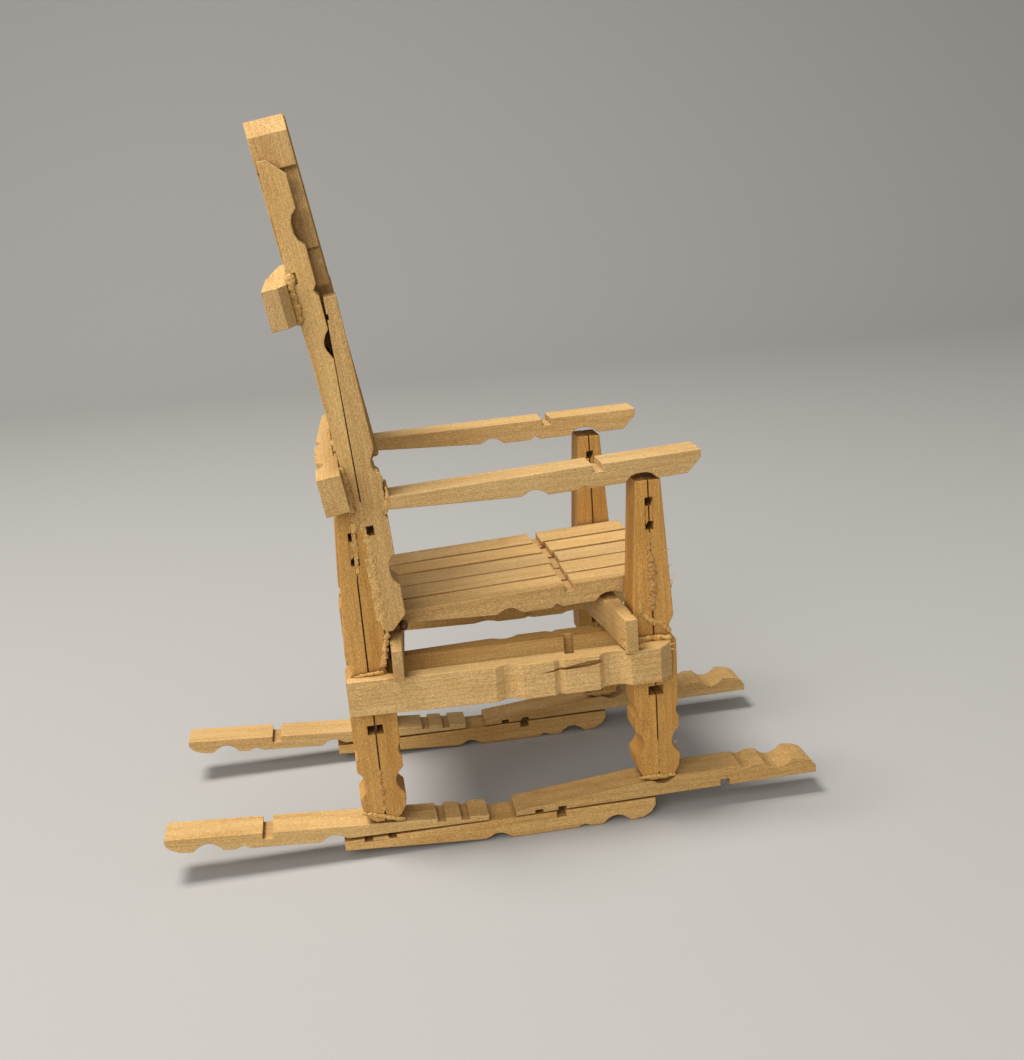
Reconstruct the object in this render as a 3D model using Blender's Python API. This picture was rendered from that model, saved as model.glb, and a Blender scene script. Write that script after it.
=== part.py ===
"""Miniature rocking chair built from halves of wooden spring clothespins.

Every stick is one clothespin half: a flat outer face with a square slot, a
notched inner face, a jaw tip at one end and a thin tapered handle at the
other.  All sticks are glued together, so nothing moves against anything else;
the chair only rocks as a whole on its two runners.

Frame: metres, +Z up, the sitter faces -Y, the chair is centred on X = 0 and
its runners stand on Z = 0.  "_r" is the sitter's right hand (-X), "_l" the
left (+X).  Positions in a side view are written as (forward, height).
"""
import math

import bmesh
import bpy
from mathutils import Matrix, Vector

OBJECT_NAME = "clothespin_rocking_chair"

# ------------------------------------------------------- one clothespin half
PIN_LENGTH = 0.0825
PIN_WIDTH = 0.0093
PIN_THICKNESS = 0.0057
HANDLE_END = 0.0030
GLUE_LINE = 0.0003
EDGE_BREAK = 0.00015
TAPER_STEP = 0.0005
ARC_STEPS = 6

# notch positions are fractions of the pin length measured from the jaw tip
NOSE = 0.36
CHAMFER = 0.045
BEVEL = 0.34
BIG_NOTCH = 0.188
BIG_HALF = 0.050
BIG_DEPTH = 0.0019
VEE_NOTCH = 0.362
VEE_HALF = 0.017
VEE_DEPTH = 0.0010
COIL_NOTCH = 0.515
COIL_HALF = 0.042
COIL_DEPTH = 0.0018
SLOT = 0.318
SLOT_HALF = 0.0150
SLOT_DEPTH = 0.0018
NICK = 0.945
NICK_HALF = 0.008
NICK_DEPTH = 0.0004

# back slats: a hooked notch and a hooked vee, as (along, share of the depth)
HOOKED_NOTCH = ((0.138, 0.0), (0.143, 1.0), (0.190, 0.9), (0.262, 0.0))
HOOKED_VEE = ((0.366, 0.0), (0.370, 1.2), (0.392, 1.0), (0.408, 0.0))

WAVE_NOTCH = 0.130
WAVE_HALF = 0.046
WAVE_DEPTH = 0.0021
RIPPLE = 0.236
RIPPLE_HALF = 0.022
RIPPLE_DEPTH = 0.0007
WAVE_SLOT = 0.310
GRIP_GROOVES = (0.925, 0.850)
GRIP_HALF = 0.013
GRIP_DEPTH = 0.0009
JAW_ROUND = 0.070

# --------------------------------------------------------- where things stand
COLUMN = PIN_WIDTH + GLUE_LINE
POST_X = 3.0 * COLUMN
POST_OUTER_X = POST_X + 0.5 * PIN_WIDTH
POST_INNER_X = POST_X - 0.5 * PIN_WIDTH

RUNNER_TOP = 0.0056
RUNNER_REAR = {"tip": (-0.0860, 0.01325), "heading": -4.05, "thick": 0.0041, "end": 0.0015}
LEFT_RUNNER_INSET = 0.0013
RUNNER_MIDDLE = {"tip": (0.0410, RUNNER_TOP), "heading": 180.0, "thick": RUNNER_TOP, "end": 0.0026}
RUNNER_FRONT = {"tip": (0.0859, 0.0065), "heading": 180.4, "thick": 0.0050, "end": 0.0014}

LEG_THICKNESS = 0.0057
FRONT_LEG_SEAM = {"r": 0.0423, "l": 0.0403}
FRONT_LEG_FOOT = 0.0108
FRONT_LEG_CUT = 0.992
REAR_LEG_SEAM = -0.0304
REAR_LEG_FOOT = 0.0100
REAR_LEG_HEADING = 90.6
REAR_LEG_FORE_CUT = 0.985

UPPER_POST_TIP = (-0.0432, 0.1739)
UPPER_POST_HEADING = -81.1
UPPER_POST_END = 0.0021
LOWER_POST_TIP = (-0.0257, 0.0612)
LOWER_POST_HEADING = 94.3

ARM_TIP = {"r": (0.0560, 0.0992), "l": (0.0543, 0.0995)}
ARM_HEADING = {"r": 182.8, "l": 181.1}
ARM_CUT = {"r": 0.944, "l": 0.923}

SEAT_SLATS = 5
SEAT_TIP = (0.0491, 0.06575)
SEAT_HEADING = 182.5
SEAT_HANDLE_END = 0.0024
SEAT_STEP = 0.00022
SEAT_WIDTH = 0.0089
SEAT_ROLLS = (0.9, -0.8, 0.0, 1.1, -0.7)
SEAT_STAGGER = (0.0000, -0.0003, 0.0002, -0.0005, -0.0015)

OUTER_RAIL_TIP = 0.0461
OUTER_RAIL_TOP = 0.0505
INNER_RAIL_TIP = 0.0480
INNER_RAIL_TOP = 0.0506

BEARER_BOTTOM = 0.0509
BEARER_END_X = -0.0408
FRONT_BEARER_FACE = 0.03635
FRONT_BEARER_WIDTH = 0.0085
FRONT_BEARER_YAW = 2.0
REAR_BEARER_FACE = -0.0248
REAR_BEARER_WIDTH = 0.0079
REAR_BEARER_END = 0.0024

BACK_RAIL_TIP_X = -0.0405
LOWER_BACK_RAIL = (-0.03465, 0.0986)
UPPER_BACK_RAIL = (-0.04188, 0.1423)

BACK_SLATS = 8
BACK_SLAT_TOP = (-0.0410, 0.1836)
BACK_SLAT_HEADING = -80.4
BACK_SLAT_LIFTS = (0.0, -0.0003, 0.0005, 0.0002, -0.0004, 0.0003, 0.0, -0.0005)
BACK_SLAT_SHIFTS = (0.0, 0.0004, 0.0001, -0.0001, 0.0003, 0.0, 0.0004, 0.0001)

# the long split along the grain of the right-hand outer rail: a flat diamond
SPLIT_HEIGHT = 0.0014
SPLIT_DEPTH = 0.0013
SPLIT_LENGTH = 0.0250
SPLIT_CENTRE = (0.0235, 0.0486)
SPLIT_TILT = -5.0

WOOD_PALE = (0.72, 0.53, 0.31, 1.0)
WOOD_WARM = (0.66, 0.44, 0.22, 1.0)


def clear_scene():
    for item in list(bpy.data.objects):
        bpy.data.objects.remove(item, do_unlink=True)


def new_collection(name):
    group = bpy.data.collections.new(name)
    bpy.context.scene.collection.children.link(group)
    return group


def wood(name, colour):
    material = bpy.data.materials.new(name)
    material.use_nodes = True
    shader = material.node_tree.nodes["Principled BSDF"]
    shader.inputs["Base Color"].default_value = colour
    shader.inputs["Roughness"].default_value = 0.62
    material.diffuse_color = colour
    return material


# ------------------------------------------------------------- pin outlines
def hollow(centre, half, depth, base, length, power):
    """A scooped notch in the inner face, as (along, thickness) points."""
    points = []
    for step in range(ARC_STEPS + 1):
        across = -1.0 + 2.0 * step / ARC_STEPS
        along = (centre + half * across) * length
        points.append((along, base - depth * (1.0 - abs(across) ** power)))
    return points


def groove(centre, half, depth, length):
    """A square groove in the outer face, walked from handle to jaw."""
    near = (centre + half) * length
    far = (centre - half) * length
    return [(near, 0.0), (near, depth), (far, depth), (far, 0.0)]


def after_coil(thick, end, cut, coil_end):
    """Straight inner taper from the coil notch to the (cut) handle end."""
    start = thick - TAPER_STEP
    reach = (cut - coil_end) / (1.0 - coil_end)
    return start + (end - start) * reach


def plain_outline(thick, end, cut, kind):
    """Pin half for arms, seat, rails and back.

    "plain" has a chamfered jaw, "blunt" a sawn-off one, "hooked" has steeper
    notches, and "smooth" has none in its jaw but a bevelled outer corner.
    """
    size = PIN_LENGTH
    coil_end = COIL_NOTCH + COIL_HALF
    if kind in ("plain", "hooked"):
        points = [(0.0, 0.0), (0.0, NOSE * thick), (CHAMFER * size, thick)]
    elif kind == "blunt":
        points = [(0.0, 0.0), (0.0, thick)]
    else:
        points = [(CHAMFER * size, 0.0), (0.0, BEVEL * thick), (0.0, thick)]
    if kind == "hooked":
        points += [(along * size, thick - share * BIG_DEPTH) for along, share in HOOKED_NOTCH]
        points += [(along * size, thick - share * VEE_DEPTH) for along, share in HOOKED_VEE]
    elif kind != "smooth":
        points += hollow(BIG_NOTCH, BIG_HALF, BIG_DEPTH, thick, size, 3.0)
        points.append(((VEE_NOTCH - VEE_HALF) * size, thick))
        points.append((VEE_NOTCH * size, thick - VEE_DEPTH))
        points.append(((VEE_NOTCH + VEE_HALF) * size, thick))
    points += hollow(COIL_NOTCH, COIL_HALF, COIL_DEPTH, thick, size, 2.0)[:-1]
    points.append((coil_end * size, thick - TAPER_STEP))
    points.append((cut * size, after_coil(thick, end, cut, coil_end)))
    points.append((cut * size, 0.0))
    if cut > NICK + 2.0 * NICK_HALF:
        points += groove(NICK, NICK_HALF, NICK_DEPTH, size)
    points += groove(SLOT, SLOT_HALF, SLOT_DEPTH, size)
    return points


def wavy_outline(thick, end, cut):
    """Pin half with a rounded wavy jaw and two grip grooves (legs, runners)."""
    size = PIN_LENGTH
    coil_end = COIL_NOTCH + COIL_HALF
    points = [(0.0, 0.0), (0.0, 0.38 * thick)]
    points.append((0.22 * JAW_ROUND * size, 0.72 * thick))
    points.append((0.60 * JAW_ROUND * size, 0.93 * thick))
    points.append((JAW_ROUND * size, thick))
    points += hollow(WAVE_NOTCH, WAVE_HALF, WAVE_DEPTH, thick, size, 2.0)
    points += hollow(RIPPLE, RIPPLE_HALF, RIPPLE_DEPTH, thick, size, 2.0)
    points += hollow(COIL_NOTCH, COIL_HALF, COIL_DEPTH, thick, size, 2.0)[:-1]
    points.append((coil_end * size, thick - TAPER_STEP))
    points.append((cut * size, after_coil(thick, end, cut, coil_end)))
    points.append((cut * size, 0.0))
    for centre in GRIP_GROOVES:
        points += groove(centre, GRIP_HALF, GRIP_DEPTH, size)
    points += groove(WAVE_SLOT, SLOT_HALF, SLOT_DEPTH, size)
    return points


def outline_mesh(name, points, width):
    """Extrude a closed flat outline to the pin's width, as one clean mesh."""
    curve = bpy.data.curves.new(name + "_outline", "CURVE")
    curve.dimensions = "2D"
    curve.fill_mode = "BOTH"
    curve.extrude = 0.5 * width
    spline = curve.splines.new("POLY")
    spline.points.add(len(points) - 1)
    for knot, (along, across) in zip(spline.points, points):
        knot.co = (along, across, 0.0, 1.0)
    spline.use_cyclic_u = True
    holder = bpy.data.objects.new(name + "_outline", curve)
    bpy.context.scene.collection.objects.link(holder)
    depsgraph = bpy.context.evaluated_depsgraph_get()
    mesh = bpy.data.meshes.new_from_object(holder.evaluated_get(depsgraph))
    bpy.data.objects.remove(holder, do_unlink=True)
    mesh.name = name
    break_edges(mesh)
    return mesh


def break_edges(mesh):
    """Weld the caps and take the sharpness off both faces' outlines."""
    shell = bmesh.new()
    shell.from_mesh(mesh)
    bmesh.ops.remove_doubles(shell, verts=shell.verts, dist=1e-6)
    limit = math.radians(1.0)
    bmesh.ops.dissolve_limit(shell, angle_limit=limit, verts=shell.verts, edges=shell.edges)
    caps = [face for face in shell.faces if abs(face.normal.z) > 0.99]
    rim = {edge for face in caps for edge in face.edges}
    bmesh.ops.bevel(
        shell, geom=list(rim), offset=EDGE_BREAK, offset_type="OFFSET",
        segments=1, profile=0.5, affect="EDGES", clamp_overlap=False,
    )
    bmesh.ops.recalc_face_normals(shell, faces=shell.faces)
    shell.to_mesh(mesh)
    shell.free()
    mesh.update()


# -------------------------------------------------------------- placing pins
def make_pin(name, kind, place, colour, width=PIN_WIDTH, thick=PIN_THICKNESS, end=HANDLE_END, cut=1.0):
    """Add one clothespin half; place is its world matrix."""
    if kind == "wavy":
        points = wavy_outline(thick, end, cut)
    else:
        points = plain_outline(thick, end, cut, kind)
    mesh = outline_mesh(name, points, width)
    mesh.materials.append(wood(name + "_wood", colour))
    pin = bpy.data.objects.new(name, mesh)
    CHAIR.objects.link(pin)
    pin.matrix_world = place
    return pin


def frame_from(origin, along, inner):
    """Matrix with the pin's length along one vector, inner face along another."""
    along = Vector(along).normalized()
    inner = Vector(inner).normalized()
    side = along.cross(inner)
    turn = Matrix((along, inner, side)).transposed().to_4x4()
    return Matrix.Translation(Vector(origin)) @ turn


def side_place(x, tip, heading, inner_turn):
    """Pin lying in a side plane; heading is in degrees from straight ahead."""
    angle = math.radians(heading)
    along = (0.0, -math.cos(angle), math.sin(angle))
    turned = math.radians(heading + 90.0 * inner_turn)
    inner = (0.0, -math.cos(turned), math.sin(turned))
    return frame_from((x, -tip[0], tip[1]), along, inner)


def build_runners():
    for tag, x in SIDES:
        inset = LEFT_RUNNER_INSET if tag == "l" else 0.0
        tip = (RUNNER_REAR["tip"][0] + inset, RUNNER_REAR["tip"][1])
        rear = side_place(x, tip, RUNNER_REAR["heading"], -1)
        make_pin("runner_rear_" + tag, "wavy", rear, WOOD_PALE,
                 thick=RUNNER_REAR["thick"], end=RUNNER_REAR["end"])
        middle = side_place(x, RUNNER_MIDDLE["tip"], RUNNER_MIDDLE["heading"], 1)
        make_pin("runner_middle_" + tag, "wavy", middle, WOOD_PALE,
                 thick=RUNNER_MIDDLE["thick"], end=RUNNER_MIDDLE["end"])
        front = side_place(x, RUNNER_FRONT["tip"], RUNNER_FRONT["heading"], -1)
        make_pin("runner_front_" + tag, "wavy", front, WOOD_PALE,
                 thick=RUNNER_FRONT["thick"], end=RUNNER_FRONT["end"])


def build_legs():
    half_gap = 0.5 * GLUE_LINE
    for tag, x in SIDES:
        aft = (FRONT_LEG_SEAM[tag] - half_gap, FRONT_LEG_FOOT)
        fore = (FRONT_LEG_SEAM[tag] + half_gap, FRONT_LEG_FOOT)
        make_pin("leg_front_aft_" + tag, "wavy", side_place(x, aft, 90.0, 1), WOOD_WARM,
                 thick=LEG_THICKNESS, cut=FRONT_LEG_CUT)
        make_pin("leg_front_fore_" + tag, "wavy", side_place(x, fore, 90.0, -1), WOOD_WARM,
                 thick=LEG_THICKNESS, cut=FRONT_LEG_CUT)
        aft = (REAR_LEG_SEAM - half_gap, REAR_LEG_FOOT)
        fore = (REAR_LEG_SEAM + half_gap, REAR_LEG_FOOT)
        make_pin("leg_rear_aft_" + tag, "wavy", side_place(x, aft, REAR_LEG_HEADING, 1),
                 WOOD_WARM, thick=LEG_THICKNESS)
        make_pin("leg_rear_fore_" + tag, "wavy", side_place(x, fore, REAR_LEG_HEADING, -1),
                 WOOD_WARM, thick=LEG_THICKNESS, cut=REAR_LEG_FORE_CUT)


def build_back_posts_and_arms():
    for tag, x in SIDES:
        upper = side_place(x, UPPER_POST_TIP, UPPER_POST_HEADING, 1)
        make_pin("back_post_upper_" + tag, "plain", upper, WOOD_PALE, end=UPPER_POST_END)
        lower = side_place(x, LOWER_POST_TIP, LOWER_POST_HEADING, -1)
        make_pin("back_post_lower_" + tag, "plain", lower, WOOD_PALE)
        arm = side_place(x, ARM_TIP[tag], ARM_HEADING[tag], 1)
        make_pin("arm_" + tag, "plain", arm, WOOD_PALE, cut=ARM_CUT[tag])


def build_seat():
    for index in range(SEAT_SLATS):
        x = (index - 0.5 * (SEAT_SLATS - 1)) * COLUMN
        tip = (SEAT_TIP[0] + SEAT_STAGGER[index], SEAT_TIP[1] + SEAT_STEP * index)
        roll = Matrix.Rotation(math.radians(SEAT_ROLLS[index]), 4, "X")
        place = side_place(x, tip, SEAT_HEADING, 1) @ roll
        make_pin("seat_slat_%d" % (index + 1), "plain", place, WOOD_PALE,
                 width=SEAT_WIDTH, end=SEAT_HANDLE_END)


def build_side_rails():
    for tag, x in SIDES:
        out = math.copysign(1.0, x)
        origin = (out * (POST_OUTER_X + GLUE_LINE), -OUTER_RAIL_TIP, OUTER_RAIL_TOP - 0.5 * PIN_WIDTH)
        outer = frame_from(origin, (0.0, 1.0, 0.0), (out, 0.0, 0.0))
        rail = make_pin("side_rail_outer_" + tag, "plain", outer, WOOD_PALE)
        if tag == "r":
            split_grain(rail, origin[0] - PIN_THICKNESS)
        origin = (out * (POST_INNER_X - GLUE_LINE), -INNER_RAIL_TIP, INNER_RAIL_TOP - 0.5 * PIN_WIDTH)
        inner = frame_from(origin, (0.0, 1.0, 0.0), (-out, 0.0, 0.0))
        make_pin("side_rail_inner_" + tag, "plain", inner, WOOD_PALE)


def split_grain(rail, face_x):
    """Open a long split just under the rail's upper edge, near the jaw."""
    bpy.ops.mesh.primitive_cylinder_add(vertices=4, radius=0.5, depth=1.0)
    blade = bpy.context.object
    blade.name = "split_blade"
    for group in list(blade.users_collection):
        group.objects.unlink(blade)
    CUTTERS.objects.link(blade)
    blade.hide_render = True
    blade.display_type = "WIRE"
    place = Matrix.Translation((face_x, -SPLIT_CENTRE[0], SPLIT_CENTRE[1]))
    turn = Matrix.Rotation(math.radians(SPLIT_TILT), 4, "X") @ Matrix.Rotation(math.radians(90.0), 4, "Y")
    size = Matrix.Diagonal((SPLIT_HEIGHT, SPLIT_LENGTH, 2.0 * SPLIT_DEPTH, 1.0))
    blade.matrix_world = place @ turn @ size
    cut = rail.modifiers.new("split", "BOOLEAN")
    cut.operation = "DIFFERENCE"
    cut.solver = "EXACT"
    cut.object = blade


def build_bearers():
    middle = BEARER_BOTTOM + 0.5 * FRONT_BEARER_WIDTH
    yaw = math.radians(FRONT_BEARER_YAW)
    across = Vector((-math.cos(yaw), -math.sin(yaw), 0.0))
    near_end = Vector((BEARER_END_X, -FRONT_BEARER_FACE, middle))
    front = frame_from(near_end - PIN_LENGTH * across, across, (-math.sin(yaw), math.cos(yaw), 0.0))
    make_pin("seat_bearer_front", "plain", front, WOOD_PALE, width=FRONT_BEARER_WIDTH)
    middle = BEARER_BOTTOM + 0.5 * REAR_BEARER_WIDTH
    origin = (BEARER_END_X + PIN_LENGTH, -REAR_BEARER_FACE, middle)
    rear = frame_from(origin, (-1.0, 0.0, 0.0), (0.0, -1.0, 0.0))
    make_pin("seat_bearer_rear", "plain", rear, WOOD_PALE,
             width=REAR_BEARER_WIDTH, end=REAR_BEARER_END)


def build_back():
    lean = math.radians(UPPER_POST_HEADING)
    forward = Vector((0.0, math.sin(lean), math.cos(lean)))
    rails = (("lower", "blunt", LOWER_BACK_RAIL), ("upper", "smooth", UPPER_BACK_RAIL))
    for tag, kind, centre in rails:
        face = Vector((BACK_RAIL_TIP_X, -centre[0], centre[1])) + 0.5 * PIN_THICKNESS * forward
        make_pin("back_rail_" + tag, kind, frame_from(face, (1.0, 0.0, 0.0), -forward), WOOD_PALE)
    lean = math.radians(BACK_SLAT_HEADING)
    down = (0.0, -math.cos(lean), math.sin(lean))
    pitch = PIN_THICKNESS + GLUE_LINE
    for index in range(BACK_SLATS):
        pair = index // 2
        seam = (2.0 * pair - 0.5 * BACK_SLATS + 1.0) * pitch
        side = 1.0 if index % 2 else -1.0
        face_x = seam + side * 0.5 * GLUE_LINE
        origin = (face_x, -BACK_SLAT_TOP[0] - BACK_SLAT_SHIFTS[index], BACK_SLAT_TOP[1] + BACK_SLAT_LIFTS[index])
        place = frame_from(origin, down, (side, 0.0, 0.0))
        make_pin("back_slat_%d" % (index + 1), "hooked", place, WOOD_PALE)


clear_scene()
CHAIR = new_collection(OBJECT_NAME)
CUTTERS = new_collection("cutters")
SIDES = (("r", -POST_X), ("l", POST_X))
build_runners()
build_legs()
build_back_posts_and_arms()
build_seat()
build_side_rails()
build_bearers()
build_back()
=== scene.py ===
"""Looks of the clothespin rocking chair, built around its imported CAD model.

Every stick keeps its CAD shape.  Each gets softened edges and its own piece
of procedural wood, whose grain runs along that stick.  Glue squeezed out of
the joints, drips and torn fibres are added as small pieces of their own.
"""
import math
import random

import bmesh
import bpy
from mathutils import Matrix, Vector, noise


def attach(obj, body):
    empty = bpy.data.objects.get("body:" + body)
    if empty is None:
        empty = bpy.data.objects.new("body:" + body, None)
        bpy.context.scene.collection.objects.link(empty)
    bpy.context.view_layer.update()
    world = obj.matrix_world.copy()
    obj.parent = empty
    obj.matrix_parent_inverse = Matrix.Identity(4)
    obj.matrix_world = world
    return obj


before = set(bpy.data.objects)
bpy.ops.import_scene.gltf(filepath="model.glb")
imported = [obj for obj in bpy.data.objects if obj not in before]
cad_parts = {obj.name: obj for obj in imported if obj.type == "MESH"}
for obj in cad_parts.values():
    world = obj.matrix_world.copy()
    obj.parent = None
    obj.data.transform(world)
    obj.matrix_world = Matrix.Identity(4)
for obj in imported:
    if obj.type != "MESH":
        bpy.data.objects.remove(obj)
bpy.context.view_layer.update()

MM = 0.001
SEED = 20
EDGE_ROUND = 0.00007
WELD = 0.000005

# glue beads: spacing against their radius, voxel of the melted skin, height of its crumbs
BEAD_SPACING = 0.40
MELT_VOXEL = 0.15 * MM
CRUMB_HEIGHT = 0.28 * MM
COARSE_CRUMB = 0.55 * MM
FINE_CRUMB = 0.24 * MM
# section of a seam filler: (depth into the seam in mm, share of the half gap)
SEAM_SECTION = ((-2.8, -0.6), (-2.4, -1.0), (2.8, -1.0), (2.8, 1.0), (-2.4, 1.0), (-2.8, 0.6))
# torn fibre: (share of its length, half thickness in mm)
FIBRE_TAPER = ((-0.25, 0.16), (0.3, 0.12), (0.7, 0.07), (1.0, 0.02))
FIBRE_CURL = 0.22

STAGE_REACH = 9.0
STAGE_HEIGHT = 6.0
STAGE_DROP = 0.00002
SWEEP_START = 0.75
SWEEP_RADIUS = 0.55
CHAIR_CENTRE = (0.0, 0.0, 0.08)
# lights: place, size, power, colour
LIGHTS = {
    "key_light": ((-0.02, 0.36, 1.12), 0.42, 15.0, (1.0, 0.97, 0.92)),
    "fill_light": ((-0.88, 0.55, 0.62), 1.00, 8.8, (1.0, 0.985, 0.96)),
}
SKY_COLOUR = (0.82, 0.815, 0.80, 1.0)
SKY_STRENGTH = 0.60
CAMERA_PLACE = (-0.324678, 0.034040, 0.168650)
CAMERA_RIGHT = (-0.160834, -0.984588, -0.068693)
CAMERA_UP = (0.263656, -0.109930, 0.958332)
CAMERA_LENS = 43.898
WARM_STICKS = ("leg_",)
HONEY_STICKS = ("runner_middle", "runner_front", "back_post_lower", "side_rail_inner")

# linear colours: (early wood, darker late wood)
PALE = ((0.650, 0.420, 0.165), (0.510, 0.290, 0.092))
HONEY = ((0.635, 0.385, 0.132), (0.475, 0.255, 0.068))
WARM = ((0.590, 0.318, 0.082), (0.430, 0.204, 0.040))


# ------------------------------------------------------------ node helpers
def add(tree, kind, **settings):
    node = tree.nodes.new("ShaderNode" + kind)
    for key, value in settings.items():
        setattr(node, key, value)
    return node


def link(tree, source, target):
    tree.links.new(source, target)


def math_node(tree, operation, first, second=None, clamp=False):
    node = add(tree, "Math", operation=operation, use_clamp=clamp)
    for socket, value in zip(node.inputs, (first, second)):
        if value is None:
            continue
        if isinstance(value, (int, float)):
            socket.default_value = value
        else:
            link(tree, value, socket)
    return node.outputs[0]


def vector_node(tree, operation, first, second):
    node = add(tree, "VectorMath", operation=operation)
    for socket, value in zip(node.inputs, (first, second)):
        if isinstance(value, (tuple, list, Vector)):
            socket.default_value = value
        else:
            link(tree, value, socket)
    return node.outputs["Value"] if operation in ("DOT_PRODUCT", "LENGTH") else node.outputs[0]


def scaled_noise(tree, vector, stretch, detail, rough=0.55, distortion=0.0):
    """Noise in millimetres; stretch is its frequency along, through and across the stick."""
    node = add(tree, "TexNoise")
    node.inputs["Scale"].default_value = 1.0
    node.inputs["Detail"].default_value = detail
    node.inputs["Roughness"].default_value = rough
    node.inputs["Distortion"].default_value = distortion
    link(tree, vector_node(tree, "MULTIPLY", vector, stretch), node.inputs["Vector"])
    return node.outputs["Fac"]


def remap(tree, value, low, high, to_low=0.0, to_high=1.0):
    node = add(tree, "MapRange", interpolation_type="SMOOTHSTEP")
    link(tree, value, node.inputs["Value"])
    for name, number in (("From Min", low), ("From Max", high), ("To Min", to_low), ("To Max", to_high)):
        node.inputs[name].default_value = number
    return node.outputs["Result"]


def mix(tree, factor, first, second, blend="MIX"):
    node = add(tree, "Mix", data_type="RGBA", blend_type=blend)
    for index, value in ((0, factor), (6, first), (7, second)):
        if isinstance(value, (int, float)):
            node.inputs[index].default_value = value
        elif isinstance(value, (tuple, list)):
            node.inputs[index].default_value = (*value[:3], 1.0)
        else:
            link(tree, value, node.inputs[index])
    return node.outputs[2]


# ------------------------------------------------------------ wood material
def wood_group():
    """Node group that turns a stick's own axes into wood colour with painted shade in corners and notches,
    roughness and relief.
    """
    tree = bpy.data.node_groups.new("stick_wood", "ShaderNodeTree")
    for name, kind in (
        ("Along", "NodeSocketVector"), ("Out", "NodeSocketVector"), ("Wide", "NodeSocketVector"),
        ("Shift", "NodeSocketVector"), ("Light", "NodeSocketColor"), ("Dark", "NodeSocketColor"),
        ("Ring", "NodeSocketVector"),
    ):
        tree.interface.new_socket(name, in_out="INPUT", socket_type=kind)
    for name, kind in (
        ("Color", "NodeSocketColor"), ("Roughness", "NodeSocketFloat"), ("Normal", "NodeSocketVector"),
    ):
        tree.interface.new_socket(name, in_out="OUTPUT", socket_type=kind)
    given = tree.nodes.new("NodeGroupInput")
    result = tree.nodes.new("NodeGroupOutput")

    where = add(tree, "TexCoord").outputs["Object"]
    where = vector_node(tree, "MULTIPLY", where, (1000.0, 1000.0, 1000.0))
    local = add(tree, "CombineXYZ")
    for index, name in enumerate(("Along", "Out", "Wide")):
        link(tree, vector_node(tree, "DOT_PRODUCT", where, given.outputs[name]), local.inputs[index])
    local = vector_node(tree, "ADD", local.outputs[0], given.outputs["Shift"])

    # slow wander of the grain, then rings cut lengthwise
    wander = scaled_noise(tree, local, (0.022, 0.10, 0.10), 2.0)
    ring_place = vector_node(tree, "DOT_PRODUCT", local, given.outputs["Ring"])
    ring_place = math_node(tree, "ADD", ring_place, math_node(tree, "MULTIPLY", wander, 5.5))
    ring = math_node(tree, "FRACT", math_node(tree, "MULTIPLY", ring_place, 0.62))
    late_wood = remap(tree, ring, 0.45, 0.98)
    late_wood = math_node(tree, "MULTIPLY", late_wood, remap(tree, ring, 1.0, 0.97))

    streak = scaled_noise(tree, local, (0.045, 2.4, 2.4), 4.0, 0.6)
    fibre = scaled_noise(tree, local, (0.55, 7.5, 7.5), 3.0, 0.6)
    speckle = scaled_noise(tree, local, (1.9, 3.1, 3.1), 3.0, 0.65)
    pore = scaled_noise(tree, local, (0.30, 5.0, 5.0), 2.0, 0.5)
    blotch = scaled_noise(tree, local, (0.035, 0.16, 0.16), 2.0, 0.5)

    sand = scaled_noise(tree, local, (4.6, 5.4, 5.4), 2.0, 0.6)

    tone = math_node(tree, "MULTIPLY", late_wood, 0.30)
    tone = math_node(tree, "ADD", tone, remap(tree, streak, 0.38, 0.68, 0.0, 0.40))
    tone = math_node(tree, "ADD", tone, remap(tree, blotch, 0.35, 0.70, 0.0, 0.45), clamp=True)
    colour = mix(tree, tone, given.outputs["Light"], given.outputs["Dark"])

    shade = remap(tree, fibre, 0.30, 0.70, 0.90, 1.06)
    shade = math_node(tree, "MULTIPLY", shade, remap(tree, speckle, 0.30, 0.70, 0.80, 1.14))
    shade = math_node(tree, "MULTIPLY", shade, remap(tree, sand, 0.36, 0.64, 0.76, 1.18))
    shade = math_node(tree, "MULTIPLY", shade, remap(tree, pore, 0.24, 0.36, 0.78, 1.0))
    bright = add(tree, "CombineXYZ")
    for socket in bright.inputs:
        link(tree, shade, socket)
    colour = mix(tree, 1.0, colour, bright.outputs[0], "MULTIPLY")

    # sawn ends show duller, speckled end grain with faint close rings
    facing = add(tree, "NewGeometry").outputs["True Normal"]
    end = vector_node(tree, "DOT_PRODUCT", facing, given.outputs["Along"])
    end = remap(tree, math_node(tree, "ABSOLUTE", end), 0.70, 0.92)
    bow = vector_node(tree, "LENGTH", vector_node(tree, "MULTIPLY", local, (0.0, 1.0, 1.0)), (0.0, 0.0, 0.0))
    arcs = math_node(tree, "SINE", math_node(tree, "MULTIPLY", bow, 6.5))
    arcs = remap(tree, arcs, -1.0, 1.0, 0.0, 0.12)
    dots = scaled_noise(tree, local, (4.0, 6.0, 6.0), 2.0)
    arcs = math_node(tree, "ADD", arcs, remap(tree, dots, 0.45, 0.60, 0.0, 0.45), clamp=True)
    cut = mix(tree, arcs, (0.96, 0.97, 1.00), (0.70, 0.64, 0.58))
    end_colour = mix(tree, 1.0, colour, cut, "MULTIPLY")
    colour = mix(tree, end, colour, end_colour)

    # painted shade: darker, browner wood where sticks meet and in notches, wherever ambient occlusion finds
    # close surfaces
    hidden = add(tree, "AmbientOcclusion", samples=6)
    hidden.inputs["Distance"].default_value = 2.2 * MM
    painted_shade = remap(tree, hidden.outputs["AO"], 0.20, 0.85, 0.80, 0.0)
    shade_colour = mix(tree, 1.0, colour, (0.46, 0.28, 0.14), "MULTIPLY")
    colour = mix(tree, painted_shade, colour, shade_colour)
    link(tree, colour, result.inputs["Color"])

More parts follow.
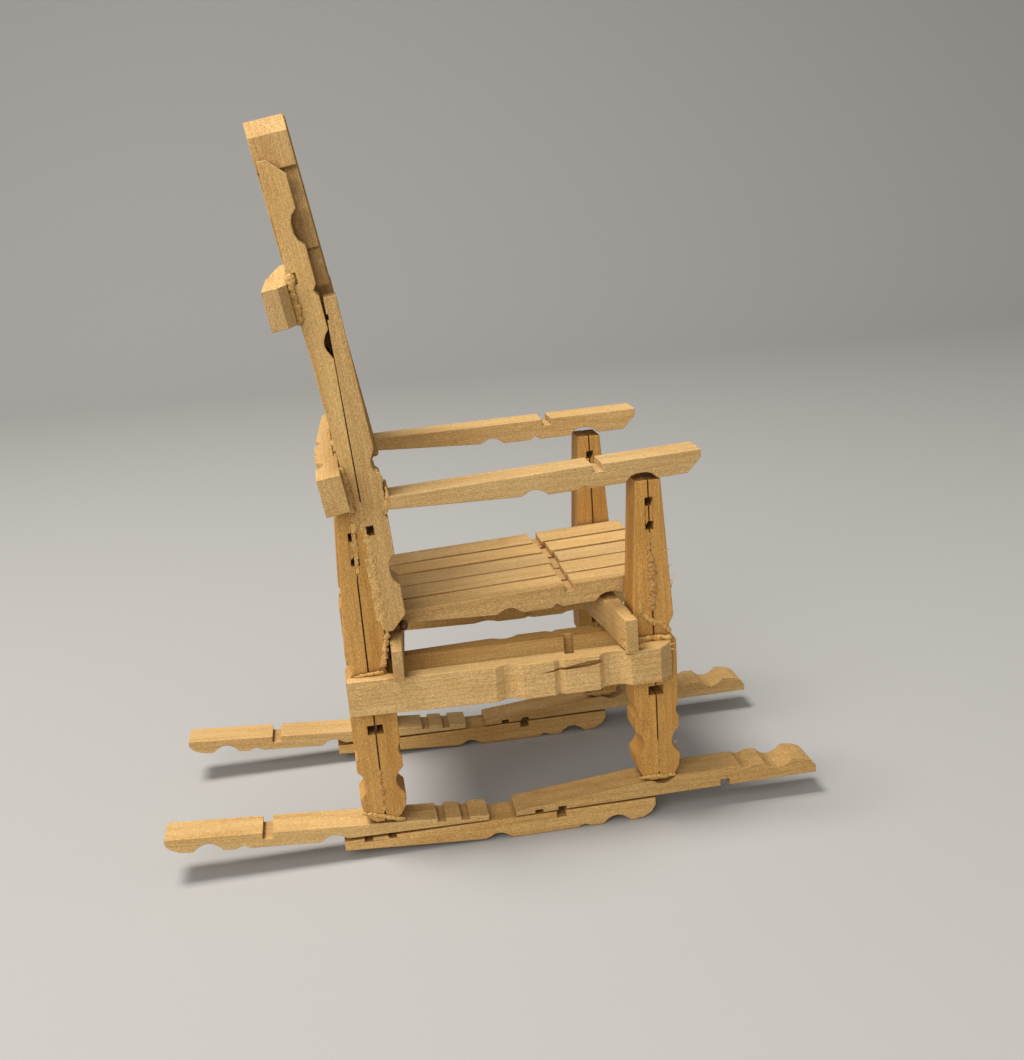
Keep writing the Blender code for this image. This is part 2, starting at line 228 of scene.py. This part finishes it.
    rough = remap(tree, streak, 0.3, 0.7, 0.55, 0.74)
    link(tree, rough, result.inputs["Roughness"])

    height = math_node(tree, "MULTIPLY", fibre, 0.55)
    height = math_node(tree, "ADD", height, math_node(tree, "MULTIPLY", speckle, 0.75))
    height = math_node(tree, "ADD", height, math_node(tree, "MULTIPLY", sand, 0.80))
    height = math_node(tree, "ADD", height, math_node(tree, "MULTIPLY", streak, 0.45))
    height = math_node(tree, "ADD", height, math_node(tree, "MULTIPLY", late_wood, 0.12))
    relief = add(tree, "Bump")
    relief.inputs["Strength"].default_value = 0.75
    relief.inputs["Distance"].default_value = 0.28 * MM
    link(tree, height, relief.inputs["Height"])
    link(tree, relief.outputs[0], result.inputs["Normal"])
    return tree


def stick_axes(mesh):
    """Length, thickness and width directions, read from the areas the faces cover."""
    groups = []
    for face in mesh.polygons:
        for entry in groups:
            if abs(entry[0].dot(face.normal)) > 0.999:
                entry[1] += face.area
                break
        else:
            groups.append([face.normal.copy(), face.area])
    groups.sort(key=lambda entry: -entry[1])
    first = groups[0][0]
    second = next(entry[0] for entry in groups[1:] if abs(entry[0].dot(first)) < 0.02)
    along = first.cross(second).normalized()
    return along, first, second


def stick_wood(name, axes, colours, draw):
    material = bpy.data.materials.new("wood_" + name)
    material.use_nodes = True
    tree = material.node_tree
    shader = tree.nodes["Principled BSDF"]
    shader.inputs["Specular IOR Level"].default_value = 0.32
    group = tree.nodes.new("ShaderNodeGroup")
    group.node_tree = WOOD
    for socket, axis in zip(("Along", "Out", "Wide"), axes):
        group.inputs[socket].default_value = axis
    shift = [draw.uniform(-400.0, 400.0) for _ in range(3)]
    turn = draw.uniform(0.0, math.pi)
    group.inputs["Shift"].default_value = shift
    group.inputs["Ring"].default_value = (0.0, math.cos(turn), math.sin(turn))
    lift = draw.uniform(0.93, 1.06)
    warm = draw.uniform(-0.05, 0.05)
    for socket, colour in zip(("Light", "Dark"), colours):
        red, green, blue = colour
        group.inputs[socket].default_value = (
            lift * red * (1.0 + 0.4 * warm), lift * green, lift * blue * (1.0 - 1.5 * warm), 1.0,
        )
    link(tree, group.outputs["Color"], shader.inputs["Base Color"])
    link(tree, group.outputs["Roughness"], shader.inputs["Roughness"])
    link(tree, group.outputs["Normal"], shader.inputs["Normal"])
    return material


def soften(stick):
    """Weld the imported faces and take the sharpness off every corner."""
    weld = stick.modifiers.new("weld", "WELD")
    weld.merge_threshold = WELD
    bevel = stick.modifiers.new("worn_edges", "BEVEL")
    bevel.width = EDGE_ROUND
    bevel.segments = 2
    bevel.limit_method = "ANGLE"
    bevel.angle_limit = math.radians(28.0)


def colours_for(name):
    if name.startswith(WARM_STICKS):
        return WARM
    if name.startswith(HONEY_STICKS):
        return HONEY
    return PALE


def dress_sticks():
    for name in sorted(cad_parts):
        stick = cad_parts[name]
        draw = random.Random(SEED + sum(ord(letter) * (index + 1) for index, letter in enumerate(name)))
        material = stick_wood(name, stick_axes(stick.data), colours_for(name), draw)
        for slot in stick.material_slots:
            slot.material = material
        soften(stick)


# ------------------------------------------------------------ glue and fibres
# Each run is a list of (x, forward, height, radius) in millimetres.
NEAR = -33.3
AMBER_RUNS = {
    "glue_arm_r": (
        (-32.9, -22.0, 97.6, 0.35), (-33.2, -21.9, 95.6, 0.55), (-33.2, -22.0, 93.8, 0.85),
        (-33.0, -22.7, 91.4, 0.50),
    ),
    "glue_arm_r_inner": (
        (-25.2, -21.9, 97.4, 0.5), (-28.0, -21.9, 95.6, 0.6), (-30.6, -21.9, 93.6, 0.6),
        (-25.4, -22.2, 92.6, 0.6),
    ),
    "glue_arm_l": (
        (25.0, -23.0, 96.0, 0.5), (25.2, -23.0, 93.0, 0.7),
    ),
    "glue_front_foot_r": (
        (-34.6, 35.8, 51.0, 0.55), (-34.3, 38.2, 51.0, 0.85), (-34.1, 41.5, 51.2, 0.70),
        (-34.4, 44.2, 51.2, 0.90), (-34.8, 46.2, 51.0, 0.70),
    ),
    "glue_front_notch_r": (
        (-33.4, 38.8, 60.8, 0.40), (-33.4, 39.6, 57.6, 0.60), (-33.5, 41.8, 55.4, 0.80),
        (-33.5, 44.2, 54.6, 0.60), (-33.6, 46.4, 52.6, 0.75),
    ),
    "glue_front_foot_l": (
        (34.0, 35.0, 51.0, 0.5), (34.0, 39.5, 51.0, 0.6), (34.0, 44.0, 51.0, 0.5),
    ),
    "glue_back_rail_r": (
        (-33.9, -32.1, 103.4, 0.60), (-33.9, -31.5, 99.4, 0.85), (-33.9, -31.0, 95.6, 0.95),
        (-33.8, -30.7, 93.0, 0.80),
    ),
    "glue_back_rail_deep_r": (
        (-29.8, -31.3, 103.6, 0.55), (-29.8, -31.0, 99.4, 0.55), (-29.8, -30.7, 95.6, 0.55),
    ),
    "glue_back_rail_l": (
        (33.2, -31.3, 103.0, 0.5), (33.2, -31.0, 98.8, 0.6), (33.2, -30.7, 94.6, 0.5),
    ),
    "glue_top_rail_r": (
        (-33.6, -38.6, 148.4, 1.15), (-33.9, -38.8, 146.2, 0.80), (-34.0, -38.6, 143.4, 0.95),
        (-34.1, -38.3, 140.8, 1.15), (-33.8, -37.8, 138.4, 0.90),
    ),
    "glue_top_rail_deep_r": (
        (-29.8, -38.9, 146.2, 0.6), (-29.8, -38.1, 142.0, 0.6), (-29.8, -37.4, 138.2, 0.6),
    ),
    "glue_top_rail_l": (
        (33.1, -38.8, 146.0, 0.5), (33.1, -38.0, 142.0, 0.65), (33.1, -37.4, 138.4, 0.5),
    ),
    "glue_bearer_rear_r": (
        (-39.0, -26.6, 51.0, 0.4), (-39.0, -24.6, 51.0, 0.45),
    ),
    "glue_rail_rear_r": (
        (-34.2, -34.2, 50.6, 0.35), (-34.3, -32.6, 50.9, 0.5), (-34.4, -30.6, 51.1, 0.45),
        (-34.3, -28.6, 51.2, 0.55), (-34.0, -27.2, 50.9, 0.5),
    ),
    "glue_rail_under_front_r": (
        (-34.0, 38.6, 41.0, 0.35), (-34.0, 42.0, 40.9, 0.5), (-34.0, 45.6, 41.0, 0.4),
    ),
    "glue_runner_rear_r": (
        (-33.6, -36.2, 13.0, 0.4), (-33.7, -33.4, 12.2, 0.65), (-33.7, -30.4, 11.4, 0.55),
        (-33.6, -27.6, 10.2, 0.6), (-33.3, -25.6, 9.8, 0.35),
    ),
    "glue_runner_front_r": (
        (-33.5, 37.0, 12.0, 0.35), (-33.6, 40.0, 12.0, 0.6), (-33.6, 43.4, 11.8, 0.6),
        (-33.5, 46.6, 11.6, 0.4),
    ),
    "glue_runner_rear_l": (
        (24.2, -35.4, 12.6, 0.45), (24.0, -31.4, 11.6, 0.6), (24.2, -27.4, 10.4, 0.45),
    ),
    "glue_runner_front_l": (
        (24.1, 35.4, 12.0, 0.45), (24.0, 39.8, 12.0, 0.6), (24.2, 44.4, 11.8, 0.45),
    ),
    "glue_slat_back_1": (
        (-18.0, -33.9, 103.4, 0.5), (-12.0, -33.9, 103.6, 0.35), (-6.0, -33.9, 103.4, 0.5),
    ),
    "glue_slat_back_2": (
        (2.0, -33.9, 103.5, 0.45), (9.0, -33.9, 103.6, 0.4), (17.0, -33.9, 103.4, 0.5),
    ),
}
CRUMB_RUNS = {
    "crumbs_leg_rear_r": (
        (NEAR, -29.8, 91.6, 0.95), (NEAR, -30.4, 89.4, 0.75), (NEAR, -30.9, 86.4, 0.35),
        (NEAR, -30.7, 83.4, 0.55), (NEAR, -30.8, 80.4, 0.50), (NEAR, -30.8, 77.2, 0.35),
    ),
    "crumbs_post_edge_r": (
        (-33.1, -24.1, 102.4, 0.3), (-33.1, -23.4, 100.8, 0.45), (-33.1, -22.8, 98.8, 0.40),
    ),
    "crumbs_bearer_rear_r": (
        (-33.4, -25.4, 61.0, 0.60), (-33.5, -25.6, 58.4, 0.65), (-33.5, -26.4, 55.4, 0.55),
        (-33.6, -26.9, 52.8, 0.60),
    ),
    "crumbs_bearer_front_r": (
        (-39.2, 32.2, 54.2, 0.35), (-39.4, 33.8, 52.2, 0.55), (-39.3, 35.8, 51.2, 0.60),
        (-39.1, 37.6, 51.4, 0.45),
    ),
    "crumbs_heel_r": (
        (-33.0, -34.9, 72.6, 0.3), (-33.1, -35.0, 70.6, 0.34), (-33.0, -34.5, 79.6, 0.28),
    ),
    "crumbs_upper_post_r": (
        (-32.9, -39.6, 157.4, 0.26), (-32.9, -39.3, 155.4, 0.30), (-32.9, -39.1, 154.0, 0.24),
    ),
}
SMEAR_RUNS = {
    "smear_post_r": (
        (-33.35, -28.4, 92.8, 0.90), (-33.35, -28.3, 88.0, 0.80), (-33.35, -27.5, 83.4, 0.75),
        (-33.35, -27.5, 79.8, 0.95), (-33.35, -26.9, 73.8, 0.90), (-33.35, -26.3, 67.6, 0.95),
        (-33.35, -25.6, 62.4, 0.80),
    ),
    "smear_ridge_r": (
        (-33.45, -28.4, 80.4, 0.35), (-33.45, -28.0, 76.2, 0.45), (-33.45, -27.5, 71.0, 0.55),
        (-33.45, -27.1, 67.6, 0.60), (-33.45, -27.0, 64.2, 0.40),
    ),
    "smear_post_end_r": (
        (-33.35, -28.9, 94.6, 0.8), (-33.35, -28.6, 91.2, 1.0), (-33.35, -28.6, 88.6, 0.7),
    ),
}
WARM_SMEARS = {
    "smear_leg_front_r": (
        (-33.35, 42.2, 78.6, 0.35), (-33.35, 42.1, 75.0, 0.50), (-33.35, 42.4, 71.4, 0.80),
        (-33.35, 42.6, 67.2, 0.90), (-33.35, 42.5, 63.2, 1.00), (-33.35, 42.2, 59.0, 0.90),
    ),
    "smear_leg_front_low_r": (
        (-33.35, 42.2, 22.0, 0.35), (-33.35, 42.3, 17.0, 0.55), (-33.40, 42.3, 13.4, 0.60),
    ),
    "smear_leg_rear_low_r": (
        (-33.35, -30.6, 24.0, 0.35), (-33.35, -30.5, 18.0, 0.60), (-33.40, -30.5, 13.6, 0.65),
    ),
}
SEAM_RUNS = {
    "seam_post_r": (
        (-29.6, -31.2, 138.4, 0.35), (-29.6, -30.5, 127.0, 0.35), (-29.6, -29.9, 117.0, 0.35),
        (-29.6, -29.1, 108.6, 0.35), (-29.6, -28.4, 99.0, 0.35), (-29.6, -28.2, 94.0, 0.35),
    ),
    "seam_leg_rear_r": (
        (-29.6, -30.7, 77.6, 0.35), (-29.6, -30.9, 67.6, 0.35), (-29.6, -30.8, 59.2, 0.35),
        (-29.6, -30.6, 50.6, 0.35),
    ),
    "seam_leg_rear_low_r": (
        (-29.6, -30.5, 40.0, 0.35), (-29.6, -30.4, 26.0, 0.35), (-29.6, -30.4, 15.0, 0.35),
    ),
    "seam_bearer_rear_r": (
        (-29.6, -25.4, 61.2, 0.45), (-29.6, -25.4, 56.0, 0.45), (-29.6, -25.4, 52.4, 0.45),
    ),
}
# torn fibres: (x, forward, height, length) in millimetres and tilt in degrees
TORN = (
    (-33.4, 46.2, 74.0, 1.2, 20.0), (-33.2, 46.7, 69.2, 1.4, 55.0), (-33.3, 47.2, 65.8, 2.4, 62.0),
    (-33.1, 47.4, 64.4, 1.8, 75.0), (-37.0, 45.7, 50.1, 1.5, 12.0), (-37.6, 45.8, 49.0, 1.1, -14.0),
    (-33.2, -35.5, 56.0, 0.9, 150.0), (-33.3, 46.9, 21.0, 0.9, 40.0),
)


def glue_material(name, colours, roughness, clear, grain):
    """Dried glue: mottled, a little translucent, with sawdust in it."""
    material = bpy.data.materials.new(name)
    material.use_nodes = True
    tree = material.node_tree
    shader = tree.nodes["Principled BSDF"]
    where = vector_node(tree, "MULTIPLY", add(tree, "TexCoord").outputs["Object"], (1000.0, 1000.0, 1000.0))
    cloud = scaled_noise(tree, where, (0.9, 0.9, 0.9), 3.0, 0.6)
    dust = scaled_noise(tree, where, (4.5, 4.5, 4.5), 3.0, 0.65)
    colour = mix(tree, remap(tree, cloud, 0.35, 0.65), colours[0], colours[1])
    speck = remap(tree, dust, 0.34, 0.66, 1.0 - grain, 1.0 + 0.6 * grain)
    bright = add(tree, "CombineXYZ")
    for socket in bright.inputs:
        link(tree, speck, socket)
    link(tree, mix(tree, 1.0, colour, bright.outputs[0], "MULTIPLY"), shader.inputs["Base Color"])
    link(tree, remap(tree, dust, 0.3, 0.7, roughness - 0.08, roughness + 0.10), shader.inputs["Roughness"])
    relief = add(tree, "Bump")
    relief.inputs["Strength"].default_value = grain
    relief.inputs["Distance"].default_value = 0.18 * MM
    link(tree, dust, relief.inputs["Height"])
    link(tree, relief.outputs[0], shader.inputs["Normal"])
    shader.inputs["Subsurface Weight"].default_value = clear
    shader.inputs["Subsurface Radius"].default_value = (1.0, 0.55, 0.20)
    shader.inputs["Subsurface Scale"].default_value = 0.6 * MM
    return material


def glue_run(name, run, material, rough, squash, draw):
    """One squeezed-out line of glue: beads of uneven size melted into each other."""
    beads = []
    for start, end in zip(run, run[1:]):
        length = math.dist(start[:3], end[:3])
        steps = max(2, int(length / (BEAD_SPACING * min(start[3], end[3]))))
        for step in range(steps):
            share = step / steps
            beads.append([a + (b - a) * share for a, b in zip(start, end)])
    beads.append(list(run[-1]))
    mesh = bpy.data.meshes.new(name)
    build = bmesh.new()
    for x, forward, height, radius in beads:
        size = radius * draw.uniform(1.0 - rough, 1.0 + 0.6 * rough)
        jitter = [draw.uniform(-0.5, 0.5) * rough * radius for _ in range(3)]
        centre = (x + 0.4 * jitter[0], -forward + jitter[1], height + jitter[2])
        place = Matrix.Translation([value * MM for value in centre])
        size_matrix = Matrix.Diagonal((squash * size * MM, size * MM, size * MM, 1.0))
        bmesh.ops.create_icosphere(build, subdivisions=2, radius=1.0, matrix=place @ size_matrix)
    build.to_mesh(mesh)
    build.free()
    piece = bpy.data.objects.new(name, mesh)
    bpy.context.scene.collection.objects.link(piece)
    melt = piece.modifiers.new("melt", "REMESH")
    melt.mode = "VOXEL"
    melt.voxel_size = MELT_VOXEL
    graph = bpy.context.evaluated_depsgraph_get()
    melted = bpy.data.meshes.new_from_object(piece.evaluated_get(graph))
    piece.modifiers.clear()
    piece.data = melted
    melted.name = name
    for vertex in melted.vertices:
        bump = noise.noise(vertex.co / COARSE_CRUMB) + 0.6 * noise.noise(vertex.co / FINE_CRUMB)
        vertex.co += vertex.normal * bump * rough * CRUMB_HEIGHT
    for face in melted.polygons:
        face.use_smooth = True
    melted.materials.clear()
    melted.materials.append(material)
    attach(piece, "root")


def seam_filler(name, run, material):
    """Near-black filler deep inside a narrow seam, so that no light shows through; its colour is painted
    shade.
    """
    build = bmesh.new()
    rings = []
    for x, forward, height, radius in run:
        rings.append([
            build.verts.new(((x + deep) * MM, (-forward + thick * radius) * MM, height * MM))
            for deep, thick in SEAM_SECTION
        ])
    for first, second in zip(rings, rings[1:]):
        for index in range(6):
            after = (index + 1) % 6
            build.faces.new((first[index], first[after], second[after], second[index]))
    build.faces.new(rings[0][::-1])
    build.faces.new(rings[-1])
    bmesh.ops.recalc_face_normals(build, faces=build.faces)
    mesh = bpy.data.meshes.new(name)
    build.to_mesh(mesh)
    build.free()
    mesh.materials.append(material)
    piece = bpy.data.objects.new(name, mesh)
    bpy.context.scene.collection.objects.link(piece)
    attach(piece, "root")


def glue_drop(name, centre, radii, material):
    """A single smooth hanging drop."""
    build = bmesh.new()
    bmesh.ops.create_icosphere(build, subdivisions=4, radius=1.0)
    for vertex in build.verts:
        vertex.co.z *= 1.0 + 0.18 * vertex.co.z
        vertex.co = Vector([centre[axis] * MM + vertex.co[axis] * radii[axis] * MM for axis in range(3)])
    mesh = bpy.data.meshes.new(name)
    build.to_mesh(mesh)
    build.free()
    for face in mesh.polygons:
        face.use_smooth = True
    mesh.materials.append(material)
    piece = bpy.data.objects.new(name, mesh)
    bpy.context.scene.collection.objects.link(piece)
    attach(piece, "root")


def torn_fibres(material):
    """Splinters that stand off rough corners, each a thin tapering sliver."""
    build = bmesh.new()
    for x, forward, height, length, tilt in TORN:
        angle = math.radians(tilt)
        ahead = Vector((0.0, -math.cos(angle), math.sin(angle)))
        across = Vector((1.0, 0.0, 0.0)).cross(ahead)
        base = Vector((x, -forward, height))
        rings = []
        for share, wide in FIBRE_TAPER:
            bend = across * (FIBRE_CURL * length * share * share)
            middle = base + ahead * (length * share) + bend
            rings.append([
                build.verts.new((middle + across * (wide * a) + Vector((wide * b, 0.0, 0.0))) * MM)
                for a, b in ((1.0, 0.0), (0.0, 1.0), (-1.0, 0.0), (0.0, -1.0))
            ])
        for first, second in zip(rings, rings[1:]):
            for index in range(4):
                after = (index + 1) % 4
                build.faces.new((first[index], first[after], second[after], second[index]))
        build.faces.new(rings[0][::-1])
        build.faces.new(rings[-1])
    bmesh.ops.recalc_face_normals(build, faces=build.faces)
    mesh = bpy.data.meshes.new("torn_fibres")
    build.to_mesh(mesh)
    build.free()
    mesh.materials.append(material)
    piece = bpy.data.objects.new("torn_fibres", mesh)
    bpy.context.scene.collection.objects.link(piece)
    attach(piece, "root")


def add_glue():
    amber = glue_material("amber_glue", ((0.600, 0.365, 0.105), (0.440, 0.235, 0.052)), 0.45, 0.08, 0.35)
    crumbly = glue_material("crumbly_glue", ((0.630, 0.390, 0.132), (0.470, 0.262, 0.074)), 0.66, 0.0, 0.45)
    reddish = glue_material("warm_glue", ((0.500, 0.275, 0.072), (0.350, 0.165, 0.034)), 0.55, 0.05, 0.40)
    # near-black colour standing in for the shade deep in the seams: painted shade
    brown = glue_material("seam_glue_painted_shade", ((0.105, 0.045, 0.015), (0.060, 0.022, 0.008)), 0.55, 0.0, 0.30)
    # amber glue drop whose near-black colour is painted shade, for its place in the shadow under the seat
    dark = glue_material("glue_drop_painted_shade", ((0.130, 0.045, 0.012), (0.080, 0.026, 0.008)), 0.16, 0.15, 0.05)
    draw = random.Random(SEED)
    # runs, material, unevenness, thickness against width
    kinds = (
        (AMBER_RUNS, amber, 0.34, 0.48),
        (CRUMB_RUNS, crumbly, 0.90, 0.55),
        (SMEAR_RUNS, crumbly, 0.60, 0.27),
        (WARM_SMEARS, reddish, 0.70, 0.32),
    )
    for runs, material, rough, squash in kinds:
        for name in sorted(runs):
            glue_run(name, runs[name], material, rough, squash, draw)
    for name in sorted(SEAM_RUNS):
        seam_filler(name, SEAM_RUNS[name], brown)
    # hanging drop under the seat, coloured with painted shade
    glue_drop("glue_drop_r", (-27.4, 20.8, 60.2), (1.5, 1.2, 1.35), dark)
    torn_fibres(crumbly)


# ------------------------------------------------------------ stage
def stage_floor():
    """A pale floor that sweeps up into a plain wall behind the chair."""
    outline = [(-STAGE_REACH, 0.0), (SWEEP_START, 0.0)]
    for turn in range(6, 91, 6):
        angle = math.radians(turn)
        rise = SWEEP_RADIUS - SWEEP_RADIUS * math.cos(angle)
        outline.append((SWEEP_START + SWEEP_RADIUS * math.sin(angle), rise))
    outline.append((SWEEP_START + SWEEP_RADIUS, STAGE_HEIGHT))
    mesh = bpy.data.meshes.new("studio_floor")
    points = [(x, side, z - STAGE_DROP) for x, z in outline for side in (-STAGE_REACH, STAGE_REACH)]
    faces = [(2 * index, 2 * index + 2, 2 * index + 3, 2 * index + 1) for index in range(len(outline) - 1)]
    mesh.from_pydata(points, [], faces)
    for face in mesh.polygons:
        face.use_smooth = True
    floor = bpy.data.objects.new("studio_floor", mesh)
    bpy.context.scene.collection.objects.link(floor)
    material = bpy.data.materials.new("pale_floor")
    material.use_nodes = True
    shader = material.node_tree.nodes["Principled BSDF"]
    shader.inputs["Base Color"].default_value = (0.36, 0.353, 0.342, 1.0)
    shader.inputs["Roughness"].default_value = 0.80
    shader.inputs["Specular IOR Level"].default_value = 0.15
    mesh.materials.append(material)


def area_light(name, place, target, size, power, colour):
    data = bpy.data.lights.new(name, "AREA")
    data.shape = "DISK"
    data.size = size
    data.energy = power
    data.color = colour
    light = bpy.data.objects.new(name, data)
    bpy.context.scene.collection.objects.link(light)
    light.location = place
    aim = Vector(target) - Vector(place)
    light.rotation_euler = aim.to_track_quat("-Z", "Y").to_euler()


def light_and_camera():
    for name, (place, size, power, colour) in LIGHTS.items():
        area_light(name, place, CHAIR_CENTRE, size, power, colour)
    world = bpy.data.worlds.new("studio")
    bpy.context.scene.world = world
    world.use_nodes = True
    background = world.node_tree.nodes["Background"]
    background.inputs["Color"].default_value = SKY_COLOUR
    background.inputs["Strength"].default_value = SKY_STRENGTH
    bpy.context.scene.view_settings.view_transform = "Standard"

    data = bpy.data.cameras.new("camera")
    data.sensor_fit = "HORIZONTAL"
    data.sensor_width = 36.0
    data.lens = CAMERA_LENS
    data.clip_start = 0.01
    camera = bpy.data.objects.new("camera", data)
    bpy.context.scene.collection.objects.link(camera)
    right = Vector(CAMERA_RIGHT)
    up = Vector(CAMERA_UP)
    back = right.cross(up)
    turn = Matrix((right, up, back)).transposed().to_4x4()
    camera.matrix_world = Matrix.Translation(CAMERA_PLACE) @ turn
    bpy.context.scene.camera = camera


WOOD = wood_group()
add_glue()
dress_sticks()
stage_floor()
light_and_camera()
